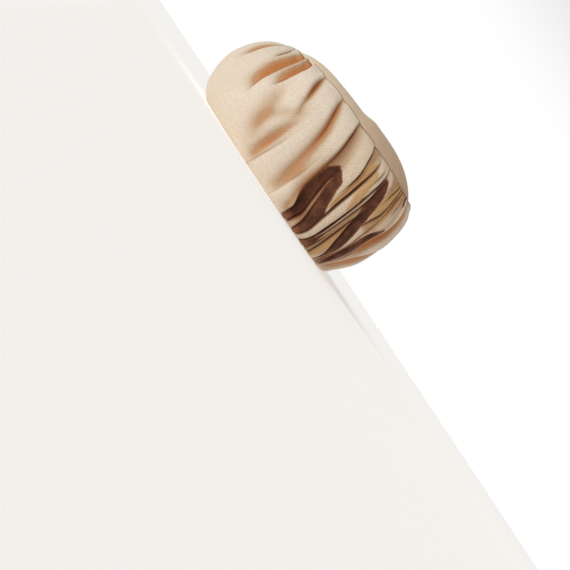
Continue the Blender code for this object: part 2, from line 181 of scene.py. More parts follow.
PANEL_FOLDS = (
    Fold("border_line", "crease", 0.8, 1.0, (1.8, 4.2, 6.6, 8.7, 11.0, 16.8, 17.3),
         (1.2, 1.8, 1.6, 1.0, 0.8, 1.4, 1.2), FLAT),
    Fold("under_drape", "hollow", 2.6, 10.5, (2.8, 5.2, 7.6, 9.4, 11.8, 17.4, 17.8),
         (1.8, 2.8, 3.0, 3.2, 4.2, 4.0, 1.0), FLAT, 0.88),
    Fold("leg_line", "crease", 0.9, 1.4, (9, 10.6, 12.2, 13.8, 17.6, 21.7, 21.9),
         (0, 0, 0.4, 1.2, 1.9, 2.3, 1.8), (0, 0, 0, 0, 0.3, 0.6, 0.4)),
    Fold("gap_line", "crease", 1.1, 1.2, (12, 13.6, 15.0, 15.4, 20.0, 25.6, 27.3),
         (0, 0, 0, 0.5, 1.6, 2.0, 1.8), (0, 0, 0, 0, -0.4, -0.7, -0.4)),
    Fold("first_gather", "crease", 1.0, 2.0, (15.5, 17.8, 20.4, 21.6, 24.0, 27.6, 29.0),
         (2.2, 2.6, 2.0, 0.6, 0.2, 0.1, 0), (2.0, 2.4, 1.6, 0.2, 0, 0, 0)),
    Fold("wedge_line", "crease", 0.9, 1.0, (19.0, 20.6, 22.0, 23.0, 25.4, 29.0, 30.2),
         (0, 0.4, 1.0, 1.0, 0.4, 0, 0), FLAT),
    Fold("second_gather", "crease", 1.0, 1.4, (23.2, 24.2, 24.2, 24.8, 27.1, 30.6, 31.3),
         (0.6, 1.9, 2.4, 2.6, 2.0, 1.9, 1.6), (0, -0.5, -0.8, -1.1, -1.0, -0.7, -0.4)),
    Fold("hook_line", "crease", 0.9, 0.9, (28.8, 28.2, 28.0, 28.4, 30.0, 33.0, 33.6),
         (0.2, 1.5, 0.4, 0, 0, 0.2, 0.6), (0, 0.5, 0.1, 0, 0, 0, 0)),
    Fold("light_lobe", "crease", 1.6, 1.2, (31.2, 31.0, 30.6, 31.0, 32.5, 35.0, 35.6),
         (0.9, 1.8, 2.3, 2.6, 2.8, 2.4, 2.0), (1.0, 1.5, 1.6, 1.4, 1.2, 0.9, 0.6)),
    Fold("lobe_line", "crease", 0.8, 1.2, (33.4, 33.2, 33.0, 33.2, 34.7, 37.4, 38.8),
         (0, 1.2, 1.9, 1.9, 1.8, 0.6, 0.3), (0, 0, 0.3, 0.6, 0.6, 0, 0)),
    Fold("rim_gather", "crease", 1.1, 1.2, (35.4, 34.8, 34.4, 35.0, 36.8, 39.8, 42.2),
         (0.3, 0.1, 0.1, 0.4, 0.9, 1.9, 1.8), (0, 0, 0, 0, 0.2, 0.5, 0.4)),
    Fold("third_gather", "crease", 1.8, 2.4, (39.0, 37.2, 36.4, 36.5, 38.7, 42.8, 46.4),
         (0.7, 0.5, 0.4, 1.6, 2.8, 2.6, 2.0), (0.3, 0.3, 0.1, 0.5, 0.8, 0.6, 0.4)),
    Fold("tail_line", "crease", 1.8, 1.8, (42.4, 39.0, 38.2, 37.9, 43.0, 51.0, 54.6),
         (1.4, 0.8, 0.2, 1.2, 2.4, 2.3, 1.7), (0.4, 0.2, 0, 0.4, 0.8, 0.7, 0.4)),
    Fold("top_pinch", "crease", 1.5, 2.4, (45.6, 41.0, 40.0, 40.6, 46.8, 52.4, 56.0),
         (2.0, 1.6, 0.3, 0.2, 0.5, 0.9, 0.8), (0.7, 0.5, 0, 0, 0, 0.2, 0.2)),
    Fold("pinch_line", "crease", 1.8, 2.4, (48.6, 44.9, 44.6, 42.7, 49.7, 53.7, 57.4),
         (1.6, 2.2, 2.2, 0.8, 0.8, 1.0, 0.8), (0.6, 0.8, 0.5, 0, 0, 0, 0)),
    Fold("fifth_gather", "crease", 1.6, 2.0, (51.6, 47.3, 47.2, 48.0, 51.7, 55.0, 58.8),
         (1.8, 1.8, 1.2, 2.0, 2.2, 1.8, 1.2), (0.5, 0.6, 0.2, 0.2, 0.4, 0.3, 0.1)),
    Fold("notch_line", "crease", 0.9, 1.2, (54.4, 51.5, 51.0, 49.9, 52.8, 56.3, 60.0),
         (1.2, 1.5, 0.2, 0.6, 1.0, 1.1, 0.8), (0.3, 0.5, 0, 0, 0, 0, 0)),
    Fold("last_gather", "crease", 1.6, 2.6, (57.4, 55.2, 55.4, 51.4, 54.0, 57.8, 61.2),
         (1.8, 0.8, 0.8, 2.6, 2.4, 1.9, 1.2), (0, 0, 0.6, 1.4, 0.9, 0.5, 0.2)),
)
# Borders where the drape laps over the printed panel
FRONT_BORDER = Fold("front_border", "crease", 1.0, 1.0, (0.8, 3.2, 5.6, 7.9, 10.4, 16.2, 16.8),
                    FLAT, (2.2, 2.6, 2.8, 2.8, 2.6, 2.4, 1.4))
BACK_BORDER = Fold("back_border", "crease", 1.0, 1.0, (59.2, 57.4, 58.2, 56.8, 59.2, 61.8, 63.8),
                   FLAT, (-1.8, -2.4, -2.6, -2.6, -2.6, -2.0, -1.2))

# Plain soft pleats round the far side, from the back to the front
FAR_PLEATS = 11
FAR_FIRST_TURN = 98.0
FAR_LAST_TURN = 262.0
FAR_LEAN = 5.0             # degrees, by the shares in FAR_LEANS
FAR_DEPTH = (2.0, 2.6, 2.0, 1.0, 0.5, 0.2, 0.1)
FAR_LAP = (1.0, 1.4, 0.9, 0.4, 0.1, 0, 0)
FAR_LEANS = (0, 0.3, 0.6, 0.9, 1, 0.9, 0.8)
FAR_REACHES = (2.2, 6.5)   # on a pleat's steep side and on its slack side
FAR_VARIETY = 0.35
OVAL_EVERY = 3             # every third far pleat has an oval hollow beside its top
OVAL_ASIDE = 5.5           # degrees
OVAL_REACH = 3.4
OVAL_DEPTH = (1.4, 2.2, 1.2, 0.2, 0, 0, 0)

# Where the folds settle into the rim and into the seam
RIM_SETTLE = 0.07          # rise above which the folds have their full height
RIM_SHARE = 0.5            # share of that height which is left at the rim
SEAM_SETTLE = 0.93         # the same at the seam
SEAM_SHARE = 0.55
FULL_LAP_RISES = (0.05, 0.97)
TUCK_RISES = (0.035, 0.955)
TUCK_EASE = 0.03           # rise over which the tuck under the drape starts and ends
EDGE_CLEARANCE = 0.15      # between the drape's folded edge and the print, mm
RIM_SCALLOP = 0.85         # share of a fold's depth by which it lifts the rim
SCALLOP_REACH = 1.3        # mm
LAP_SCALLOP = 0.6          # share of a lap that counts as depth there
SCALLOP_RISE = 0.05        # rise up to which the side is lifted with the rim
HEM_STILL_ROWS = 2         # rows at the hem's free edge that are not lifted
HEM_FLAT_ROWS = 5          # rows of the hem, from its free edge, that show no folds
ROLL_FADE = -0.4           # how soon the folds die out over the roll

# Thin lines of painted shade in the creases, millimetres
SHADE_UNDER_EDGE = 1.0     # width on the side of a pleat's edge
SHADE_ON_CLOTH = 1.5       # width on the side of the cloth that it lies on
SHADE_FROM = 0.6           # depth of a fold at which its line starts to show
SHADE_FULL = 3.2           # depth at which it is darkest
LAP_SHADE = 0.7            # share of a lap that counts as depth for its shade
SEAM_SHADE = 0.4           # how dark the painted line of shade at the crown seam is, 0 to 1
SEAM_SHADE_RISES = (0.98, 0.998)
LOW_FROM = 0.2             # depth at which a fold starts to show its painted amber shade
LOW_FULL = 4.5             # depth at which that painted shade is full

# Mesh pitch in millimetres, and numbers of rows
SIDE_ROW = 1.15
NEAR_COLUMN = 0.85
FAR_COLUMN = 1.7
PANEL_COLUMN = 0.42
PANEL_ROW = 0.85
HEM_ROWS = 8
RIM_ROWS = 5
ROLL_ROWS = 8
SMALL_RISE = 0.004         # step by which the cloth's direction at the seam is measured
TIP_COLUMNS = 300
TIP_RINGS = 84
RING_SPACING = 1.35        # power by which the tip's rings lie closer at its edge
LAST_RING = 0.0005         # share of the radius at which the tip is closed
EVEN_SHARE = 0.35          # the rest of the spacing is closer beside each fold


def smooth_through(places, values, at, slopes=None):
    """Smooth curve through values at rising places, read at any places between."""
    places = np.asarray(places, float)
    values = np.asarray(values, float)
    if slopes is None:
        slopes = np.gradient(values, places, axis=0)
    at = np.clip(np.asarray(at, float), places[0], places[-1])
    k = np.clip(np.searchsorted(places, at, side="right") - 1, 0, len(places) - 2)
    span = places[k + 1] - places[k]
    u = (at - places[k]) / span
    if values.ndim == 2:
        u = u[..., None]
        span = span[..., None]
    ends = (2 * u**3 - 3 * u**2 + 1) * values[k] + (3 * u**2 - 2 * u**3) * values[k + 1]
    bends = (u**3 - 2 * u**2 + u) * slopes[k] + (u**3 - u**2) * slopes[k + 1]
    return ends + bends * span


def ease(value, start, end):
    """0 before start, 1 after end, smooth between."""
    u = np.clip((value - start) / (end - start), 0.0, 1.0)
    return u * u * (3.0 - 2.0 * u)


def section_rises():
    """Rise of each row of SECTIONS, by the mean length of the three outlines."""
    table = np.array(SECTIONS).reshape(len(SECTIONS), 3, 2)
    steps = np.linalg.norm(np.diff(table, axis=0), axis=2).mean(axis=1)
    along = np.concatenate([[0.0], np.cumsum(steps)])
    return along / along[-1]


def blend_round(front, side, back, turn):
    """Value at a turn, from the values at the front, the sides and the back."""
    y = np.sin(np.radians(turn))
    lengthwise = y * y
    return side * (1 - lengthwise) + np.where(y < 0, front, back) * lengthwise


def outline_point(turn, rise):
    """Radius and height of the smooth side."""
    row = smooth_through(section_rises(), np.array(SECTIONS), rise)
    radius = blend_round(row[..., 0], row[..., 2], row[..., 4], turn)
    height = blend_round(row[..., 1], row[..., 3], row[..., 5], turn)
    return np.stack([radius, height], axis=-1)


def fold_value(values, rise):
    """A fold's number at a rise; the curve never swings past the table's numbers."""
    places, values = FOLD_RISES[::-1], values[::-1]
    steps = np.diff(values) / np.diff(places)
    product = steps[:-1] * steps[1:]
    total = np.where(product > 0, steps[:-1] + steps[1:], 1.0)
    middle = np.where(product > 0, 2 * product / total, 0.0)
    return smooth_through(places, values, rise, np.concatenate([steps[:1], middle, steps[-1:]]))


def far_folds():
    """Pleats of the side that lies behind, and the oval hollows beside some of them."""
    pleats = []
    hollows = []
    for k in range(FAR_PLEATS):
        turn = FAR_FIRST_TURN + (FAR_LAST_TURN - FAR_FIRST_TURN) * k / (FAR_PLEATS - 1)
        vary = 1 + FAR_VARIETY * math.sin(2.4 * k + 0.8)
        lean = FAR_LEAN * math.cos(math.radians(turn - 90))
        way = 1 if turn < 180 else -1
        turns = tuple(turn + lean * share for share in FAR_LEANS)
        depths = tuple(vary * depth for depth in FAR_DEPTH)
        laps = tuple(way * vary * lap for lap in FAR_LAP)
        pleats.append(Fold(f"far_{k + 1}", "crease", *FAR_REACHES[::way], turns, depths, laps))
        if k % OVAL_EVERY == 1:
            aside = tuple(t + way * OVAL_ASIDE * vary for t in turns)
            hollows.append(Fold(f"far_oval_{k + 1}", "hollow", OVAL_REACH, OVAL_REACH, aside,
                                OVAL_DEPTH, FLAT))
    return tuple(pleats), tuple(hollows)


FAR_FOLDS, FAR_HOLLOWS = far_folds()
BORDERS = (FRONT_BORDER, BACK_BORDER)
GUIDE_FOLDS = tuple(sorted(DRAPE_FOLDS + FAR_FOLDS, key=lambda fold: fold.turn[0]))
ALL_FOLDS = DRAPE_FOLDS + DRAPE_HOLLOWS + PANEL_FOLDS + FAR_FOLDS + FAR_HOLLOWS + BORDERS


def distance(fold, turn, rise):
    """Millimetres from a fold: negative on its front side."""
    degrees = (turn - fold_value(fold.turn, rise) + 180.0) % 360.0 - 180.0
    return degrees * MM_PER_DEGREE


def groove(fold, away, rise):
    reach = np.where(away < 0, fold.front, fold.back)
    return fold_value(fold.depth, rise) * np.exp(-np.abs(away / reach) ** PROFILES[fold.shape])


def upper_share(away, width):
    """1 on the upper cloth of a lap, 0 on the lower, with a rounded edge between."""
    u = np.clip(1 + away / width, 0.0, 1.0)
    return np.where(away < 0, np.sqrt(1 - u * u), 0.0)


def lap_step(fold, away, rise, drape):
    """Lift of the upper cloth and sinking of the lower one at a lap."""
    lap = fold_value(fold.lap, rise)
    fade = np.exp(-(away / LAP_REACH) ** 2)
    way = 1.0 if sum(fold.lap) >= 0 else -1.0
    if fold in BORDERS:
        low, high = FULL_LAP_RISES
        lap = np.abs(lap) * ease(rise, 0.0, low) * (1 - ease(rise, high, 1.0))
        if not drape:
            return -0.5 * lap * fade
        drop = np.maximum(lap - CREPE - EDGE_CLEARANCE, 0.0)
        return 0.5 * lap * fade - drop * (1 - upper_share(way * away, BORDER_ROUND))
    width = DRAPE_ROUND if drape else PANEL_ROUND
    return 0.5 * np.abs(lap) * fade * (2 * upper_share(way * away, width) - 1)


def crease_shade(turn, rise, folds):
    """How deep a thin line of painted shade each pleat draws, 0 to 1."""
    shade = SEAM_SHADE * ease(rise, *SEAM_SHADE_RISES)
    for fold in folds:
        away = distance(fold, turn, rise)
        way = 1.0 if sum(fold.lap) >= 0 else -1.0
        width = np.where(way * away < 0, SHADE_UNDER_EDGE, SHADE_ON_CLOTH)
        depth = fold_value(fold.depth, rise) + LAP_SHADE * np.abs(fold_value(fold.lap, rise))
        strength = np.clip((depth - SHADE_FROM) / (SHADE_FULL - SHADE_FROM), 0.0, 1.0)
        shade = np.maximum(shade, INKS[fold.shape] * strength * np.exp(-(away / width) ** 2))
    return shade


def mean_groove(rise):
    """Mean depth of the grooves, which is given back to keep the outline's size."""
    total = 0.0
    for fold in ALL_FOLDS:
        area = (fold.front + fold.back) * AREAS[fold.shape]
        total = total + fold_value(fold.depth, rise) * area
    return total / (360.0 * MM_PER_DEGREE)


def relief(turn, rise, drape):
    """Height of the folds above the smooth side. drape says which cloth it is."""
    height = mean_groove(rise)
    for fold in ALL_FOLDS:
        away = distance(fold, turn, rise)
        height = height + lap_step(fold, away, rise, drape) - groove(fold, away, rise)
    seam = 1 - (1 - SEAM_SHARE) * ease(rise, SEAM_SETTLE, 1.0)
    rim = RIM_SHARE + (1 - RIM_SHARE) * ease(rise, 0.0, RIM_SETTLE)
    return height * seam * rim


def painted_shade_depth(turn, rise, drape):
    """Depth of the folds, weighted for their painted amber shade, millimetres."""
    depth = 0.0
    for fold in ALL_FOLDS:
        away = distance(fold, turn, rise)
        step = lap_step(fold, away, rise, drape) if fold not in BORDERS else 0.0
        depth = depth + fold.warmth * (groove(fold, away, rise) - step)
    return depth


def rim_lift(turn):
    """Height by which the folds lift the rim's edge off the floor."""
    lift = 0.0
    rise = 0 * turn
    for fold in DRAPE_FOLDS + PANEL_FOLDS:
        away = distance(fold, turn, rise)
        depth = fold_value(fold.depth, rise) + LAP_SCALLOP * np.abs(fold_value(fold.lap, rise))
        lift = np.maximum(lift, depth * np.exp(-np.abs(away) / SCALLOP_REACH))
    return RIM_SCALLOP * lift


def columns_between(left, right, pitch):
    """Mesh columns after left, up to and with right, closer together at both ends."""
    count = max(8, round(float(np.mean(right - left)) * MM_PER_DEGREE / pitch))
    even = np.arange(1, count + 1) / count
    shares = EVEN_SHARE * even + (1 - EVEN_SHARE) * (0.5 - 0.5 * np.cos(math.pi * even))
    return [left + (right - left) * share for share in shares]


def side_turns(folds, rises, first, last, pitch):
    """Turns of the mesh, rows by columns, that follow the folds."""
    columns = [first]
    for fold in folds:
        turn = fold_value(fold.turn, rises)
        columns += columns_between(columns[-1], turn, pitch(turn))
    columns += columns_between(columns[-1], last, pitch(last))
    return np.stack(columns, axis=1)


def drape_pitch(turn):
    """Column pitch: fine where the folds are, wider round the far side."""
    middle = float(np.mean(turn))
    return FAR_COLUMN if 95.0 < middle < 265.0 else NEAR_COLUMN


def place(turn, radius, height):
    """Points in metres, from turns in degrees and radii and heights in millimetres."""
    angle = np.radians(turn)
    across = radius * np.cos(angle) + AXIS_X
    back = radius * np.sin(angle) + AXIS_Y
    return np.stack([across, back, height + 0 * turn], axis=-1) * MM


def hem_path(turn):
    """Radius and height from the hem's free edge, down and round under the rim."""
    edge = outline_point(turn, 0 * turn)[..., 0]
    inner = edge - RIM_EDGE
    rows = []
    for share in np.linspace(1.0, 0.0, HEM_ROWS):
        lean = HEM_LEAN * (HEM_LOW_LEAN + (1 - HEM_LOW_LEAN) * share)
        rows.append((inner - lean, RIM_ROUND + (HEM_HEIGHT - RIM_ROUND) * share))
    centre = inner - HEM_LOW_LEAN * HEM_LEAN + RIM_ROUND
    for angle in np.radians(np.linspace(200.0, 270.0, RIM_ROWS)):
        rows.append((centre + RIM_ROUND * math.cos(angle),
                     RIM_ROUND + RIM_ROUND * math.sin(angle)))
    rows.append((edge - RIM_FOOT[0], RIM_FOOT[1]))
    return [np.stack([r, z + 0 * turn], axis=-1) for r, z in rows]


def roll_path(turn):
    """Radius and height over the roll at the seam, and down the seam allowance."""
    end = outline_point(turn, 1 + 0 * turn)
    along = end - outline_point(turn, 1 - SMALL_RISE + 0 * turn)
    out = np.stack([along[..., 1], -along[..., 0]], axis=-1)
    out /= np.linalg.norm(out, axis=-1, keepdims=True)
    centre = end - ROLL * out
    first = np.arctan2(out[..., 1], out[..., 0])
    rows = []
    for share in np.arange(1, ROLL_ROWS + 1) / ROLL_ROWS:
        angle = first + (math.pi - first) * share
        way = np.stack([np.cos(angle), np.sin(angle)], axis=-1)
        rows.append(centre + ROLL * way)
    for share in (0.33, 0.67, 1.0):
        rows.append(np.stack([centre[..., 0] - ROLL,
                              centre[..., 1] - share * SEAM_ALLOWANCE], axis=-1))
    return rows, centre


def face_normals(path):
    """Direction of the cloth's outer face along each column of a path."""
    along = np.gradient(path, axis=0)
    out = np.stack([along[..., 1], -along[..., 0]], axis=-1)
    return out / np.linalg.norm(out, axis=-1, keepdims=True)


# Points of the outer and inner face of one piece, its place along the flat cloth, and
# the values that its finish reads; a closed piece runs all the way round
Cloth = namedtuple("Cloth", "outer inner along finish closed")


def side_cloth(turns, rises, drape):
    """One stretch of the side, from the hem's free edge to the seam allowance."""
    hem = hem_path(turns[0])
    roll, _ = roll_path(turns[-1])
    side = [outline_point(turn, rise + 0 * turn) for turn, rise in zip(turns, rises)]
    path = np.array(hem + side + roll)
    turn = np.concatenate([np.repeat(turns[:1], len(hem), axis=0), turns,
                           np.repeat(turns[-1:], len(roll), axis=0)])
    rise = np.concatenate([np.zeros(len(hem)), rises, np.ones(len(roll))])[:, None] + 0 * turn
    height = relief(turn, rise, drape)
    nudge = SOFT_EDGE / MM_PER_DEGREE
    floor = np.minimum(relief(turn - nudge, rise, drape), relief(turn + nudge, rise, drape))
    floor = np.minimum(floor, height)
    way = face_normals(path)
    push = way.copy()
    push[..., 1] *= ease(rise, 0.0, RIM_SETTLE)
    push[-len(roll):] = (0.0, 1.0)
    hem_row = np.arange(len(hem))
    over = np.clip(np.linspace(1.0, ROLL_FADE, len(roll)), 0.0, 1.0)
    settle = np.concatenate([ease(hem_row, HEM_FLAT_ROWS, len(hem)), np.ones(len(side)), over])
    outer = path + push * (height * settle[:, None])[..., None]
    inner = path + push * (floor * settle[:, None])[..., None] - way * CREPE
    still = ease(hem_row, HEM_STILL_ROWS, len(hem) - HEM_STILL_ROWS)
    lifted = np.concatenate([still, 1 - ease(rises, 0.0, SCALLOP_RISE), np.zeros(len(roll))])
    lift = rim_lift(turns[0]) * lifted[:, None]
    along = np.concatenate([[0.0], np.cumsum(
        np.linalg.norm(np.diff(path.mean(axis=1), axis=0), axis=1))])
    cloth = np.stack([turn * MM_PER_DEGREE, along[:, None] + 0 * turn, 0 * turn], axis=-1)
    # low is painted amber shade by the depth of the folds; crease is painted lines of shade
    finish = {"low": ease(painted_shade_depth(turn, rise, drape), LOW_FROM, LOW_FULL),
              "crease": crease_shade(turn, rise, GUIDE_FOLDS if drape else PANEL_FOLDS)}
    if not drape:
        finish.update(strokes(turn, rise))
    finish["low"][:len(hem)] = 0.0
    return Cloth(place(turn, outer[..., 0], outer[..., 1] + lift),
                 place(turn, inner[..., 0], inner[..., 1] + lift), cloth, finish, False)


# Printed strokes: rows of rise, front edge and back edge in degrees of turn
BROWN_STROKES = (
    ((0.63, 11.4, 12.2), (0.60, 10.4, 14.4), (0.55, 9.0, 14.8), (0.50, 9.2, 14.0),
     (0.40, 9.9, 15.7), (0.30, 11.2, 17.2), (0.25, 12.4, 18.3), (0.20, 14.0, 19.8),
     (0.15, 15.9, 21.2), (0.10, 17.2, 21.8), (0.0, 17.6, 21.8)),
    ((0.62, 12.0, 13.6), (0.59, 12.6, 16.2), (0.57, 13.0, 18.0), (0.50, 14.5, 19.4),
     (0.45, 15.5, 21.0), (0.40, 16.8, 22.6), (0.36, 18.2, 24.2), (0.33, 19.0, 26.0),
     (0.28, 20.4, 27.2), (0.20, 23.0, 28.9), (0.12, 25.6, 30.4), (0.0, 27.4, 31.3)),
    ((0.90, 32.2, 33.8), (0.87, 31.7, 35.0), (0.78, 31.6, 37.8), (0.70, 32.6, 38.8),
     (0.60, 33.6, 40.2), (0.50, 36.4, 42.6), (0.42, 38.9, 45.0), (0.33, 42.0, 47.8),
     (0.24, 45.6, 50.8), (0.15, 49.9, 52.9), (0.06, 53.2, 54.4)),
    ((0.66, 29.9, 30.5), (0.62, 29.6, 30.6), (0.55, 30.4, 31.0), (0.40, 31.1, 32.1),
     (0.32, 31.7, 33.1), (0.25, 32.9, 34.1), (0.10, 35.0, 35.7), (0.0, 35.3, 35.9)),
    ((0.24, 35.0, 35.8), (0.20, 35.3, 36.8), (0.12, 35.8, 39.7), (0.0, 36.6, 42.1)),
    ((0.70, 44.5, 45.1), (0.67, 43.6, 44.7), (0.62, 42.4, 43.6), (0.57, 42.0, 43.0),
     (0.52, 42.2, 42.8)),
    ((0.66, 56.8, 58.0), (0.62, 55.4, 57.6), (0.58, 53.8, 57.0), (0.55, 52.3, 56.6),
     (0.50, 52.5, 56.4), (0.42, 53.2, 58.0), (0.36, 53.8, 59.0), (0.30, 54.5, 60.0),
     (0.22, 55.8, 60.6), (0.15, 57.4, 61.6), (0.08, 59.6, 62.6), (0.04, 61.0, 63.2)),
    ((1.0, 57.6, 62.0), (0.95, 56.8, 59.2), (0.91, 56.4, 57.0)),
)
TAN_STROKES = (
    ((0.90, 22.4, 24.0), (0.86, 21.0, 24.3), (0.82, 19.4, 24.2), (0.75, 20.0, 24.1),
     (0.60, 20.9, 24.5), (0.50, 21.5, 24.9), (0.42, 22.6, 25.6), (0.38, 24.2, 26.0)),
    ((0.86, 24.0, 26.0), (0.82, 24.4, 27.4), (0.76, 24.2, 28.2), (0.70, 24.4, 29.0),
     (0.60, 25.2, 29.8), (0.54, 26.8, 30.0), (0.48, 28.8, 30.3)),
    ((1.0, 43.0, 47.6), (0.93, 40.6, 45.8), (0.85, 38.4, 44.6), (0.78, 38.0, 44.3),
     (0.70, 39.0, 43.8), (0.62, 40.8, 42.4)),
    ((1.0, 50.4, 56.0), (0.93, 46.6, 51.6), (0.85, 45.4, 50.2), (0.78, 45.2, 49.4),
     (0.70, 46.4, 49.0), (0.60, 47.6, 49.3), (0.50, 48.4, 49.4)),
    ((0.44, 36.6, 38.0), (0.33, 38.2, 41.0), (0.25, 39.8, 43.8), (0.18, 41.4, 45.8),
     (0.10, 43.6, 47.4), (0.0, 46.0, 49.6)),
)
# Thin wash of tan that clouds the ground between the strokes: partly the dye, partly painted
# shade
TAN_WASH_AND_SHADE = (
    ((1.0, 35.0, 57.0), (0.93, 35.6, 54.0), (0.84, 37.0, 50.6), (0.75, 38.0, 49.4),
     (0.60, 40.6, 49.0), (0.50, 43.0, 48.6)),
    ((0.62, 32.2, 34.0), (0.50, 32.4, 36.6), (0.40, 33.2, 40.0), (0.28, 34.2, 44.6),
     (0.15, 36.0, 48.6), (0.0, 40.0, 50.0)),
    ((1.0, 16.0, 22.0), (0.90, 17.4, 22.0), (0.80, 19.4, 22.0)),
    ((0.60, 50.0, 52.0), (0.40, 49.4, 53.0), (0.20, 52.4, 57.0), (0.05, 55.6, 61.0)),
)


def stroke_distance(table, turn, rise):
    """Millimetres outside a stroke's edges; negative inside it."""
    rows = np.array(sorted(table))
    front = np.interp(rise, rows[:, 0], rows[:, 1])
    back = np.interp(rise, rows[:, 0], rows[:, 2])
    beside = np.maximum(front - turn, turn - back) * MM_PER_DEGREE
    below = (rows[0, 0] - rise) * SIDE_LENGTH
    above = (rise - rows[-1, 0]) * SIDE_LENGTH
    if rows[0, 0] == 0.0:
        below = below - SIDE_LENGTH
    return np.maximum(np.maximum(beside, below), above)


def strokes(turn, rise):
    """Distance to the nearest stroke of each dye, for each point."""
    nearest = {}
    for name, tables in (("brown", BROWN_STROKES), ("tan", TAN_STROKES), ("wash_and_shade", TAN_WASH_AND_SHADE)):
        nearest[name] = np.min([stroke_distance(t, turn, rise) for t in tables], axis=0)
    return nearest


def cushion(ring, across, back):
    """Height of the soft crown tip above the seam, at a share of its radius."""
    dome = (TIP_RISE - TIP_SLACK) * (1 - ring ** TIP_FULLNESS)
    from_puff = across ** 2 + (back - TIP_PUFF_BACK) ** 2
    puff = TIP_PUFF * np.exp(-from_puff / TIP_PUFF_WIDTH ** 2)
    fold = TIP_FOLD * (ease(back, *TIP_FOLD_BACKS) - 0.5)
    from_loft = (across - TIP_LOFT_ACROSS) ** 2 + (back - TIP_LOFT_BACK) ** 2
    loft = TIP_LOFT * np.exp(-from_loft / TIP_LOFT_WIDTH ** 2)
    settled = (puff + fold) * (1 - ring ** TIP_LEVEL_POWER)
    return dome + settled + loft * (1 - ring ** TIP_LOFT_POWER)


def tip_puckers(ring, angle):
    """Small puckers that run in from the seam."""
    inward = 1 - ring
    near_seam = np.exp(-(inward / PUCKER_REACH)) * (1 - np.exp(-(inward / PUCKER_START)))
    waves = np.sin(23 * angle + 1.3 * np.sin(3 * angle)) + 0.6 * np.sin(41 * angle + 2.0)
    return PUCKER_HEIGHT * near_seam * waves


def tip_cloth():
    """The crown tip, from its seam allowance up to the middle of the cushion."""
    turn = np.linspace(0.0, 360.0, TIP_COLUMNS, endpoint=False)
    _, centre = roll_path(turn)
    edge = centre[..., 0] - ROLL - GAP
    level = centre[..., 1]
    rows = [(edge, level - SEAM_ALLOWANCE * share) for share in (1.0, 0.6, 0.3)]
    for angle in np.radians(np.linspace(0.0, TIP_EDGE_BEND, 5)):
        rows.append((edge - ROLL + ROLL * math.cos(angle), level + ROLL * math.sin(angle)))
    rings = 1 - (np.arange(1, TIP_RINGS + 1) / TIP_RINGS) ** RING_SPACING * 0.998
    rings = np.append(rings, LAST_RING)
    start = rows[-1]
    for ring in rings:
        radius = edge * ring
        across = radius * np.cos(np.radians(turn))
        back = radius * np.sin(np.radians(turn))
        seam = level * ring + np.mean(level) * (1 - ring)
        height = seam + ROLL + cushion(ring, across, back)
        height = height + tip_puckers(ring, np.radians(turn))
        join = ease(edge - radius, 0.0, TIP_JOIN)
        height = start[1] * (1 - join) + height * join
        rows.append((np.minimum(radius, start[0]), height))
    path = np.array([np.stack(row, axis=-1) for row in rows])
    way = face_normals(path)
    inner = path - way * CREPE
    turns = np.repeat(turn[None], len(path), axis=0)
    cloth = place(turns, path[..., 0], 0 * turns) / MM
    # painted shade on the tip, deeper towards its back
    finish = {"low": TIP_BACK_SHADE * ease(cloth[..., 1], *TIP_SHADE_BACKS),
              "crease": 0 * turns}
    return Cloth(place(turns, path[..., 0], path[..., 1]),
                 place(turns, np.maximum(inner[..., 0], TIP_HOLE), inner[..., 1]),
                 cloth, finish, True)


def quads(rows, columns, closed, flip, offset):
    """Corner numbers of a grid of quads."""
    wrap = columns if closed else columns - 1
    i, j = np.meshgrid(np.arange(rows - 1), np.arange(wrap), indexing="ij")
    k = (j + 1) % columns
    corners = [i * columns + j, i * columns + k, (i + 1) * columns + k, (i + 1) * columns + j]
    if flip:
        corners = corners[::-1]
    return np.stack(corners, axis=-1).reshape(-1, 4) + offset


def edge_quads(line, count):
    """Quads that join a line of the outer face to the same line of the inner one."""
    return np.stack([line[:-1], line[1:], line[1:] + count, line[:-1] + count], axis=-1)


def cloth_mesh(name, cloth):
    """Closed mesh of one piece of cloth, with the values that its finish reads."""
    rows, columns = cloth.outer.shape[:2]
    count = rows * columns
    number = np.arange(count).reshape(rows, columns)
    ends = np.concatenate([number, number[:, :1]], axis=1) if cloth.closed else number
    faces = [quads(rows, columns, cloth.closed, False, 0),
             quads(rows, columns, cloth.closed, True, count),
             edge_quads(ends[0][::-1], count), edge_quads(ends[-1], count)]
    if not cloth.closed:
        faces.append(edge_quads(number[:, 0], count))
        faces.append(edge_quads(number[::-1, -1], count))
    points = np.concatenate([cloth.outer.reshape(-1, 3), cloth.inner.reshape(-1, 3)])
    corners = np.concatenate(faces)
    mesh = bpy.data.meshes.new(name)
    mesh.vertices.add(len(points))
    mesh.vertices.foreach_set("co", points.ravel())
    mesh.loops.add(corners.size)
    mesh.loops.foreach_set("vertex_index", corners.ravel())
    mesh.polygons.add(len(corners))
    mesh.polygons.foreach_set("loop_start", np.arange(0, corners.size, 4))
    mesh.update(calc_edges=True)
    mesh.validate()
    layer = mesh.attributes.new("weave", "FLOAT_VECTOR", "POINT")
    layer.data.foreach_set("vector", np.tile(cloth.along.ravel(), 2))
    for key, value in cloth.finish.items():
        layer = mesh.attributes.new(key, "FLOAT", "POINT")
        layer.data.foreach_set("value", np.tile(value.ravel(), 2))
    mesh.shade_smooth()
    return mesh


def side_rises(pitch):
    return np.linspace(0.008, 1.0, round(SIDE_LENGTH / pitch))


def drape_cloth():
    rises = side_rises(SIDE_ROW)
    first = fold_value(BACK_BORDER.turn, rises)
    last = fold_value(FRONT_BORDER.turn, rises) + 360.0
    return side_cloth(side_turns(GUIDE_FOLDS, rises, first, last, drape_pitch), rises, True)


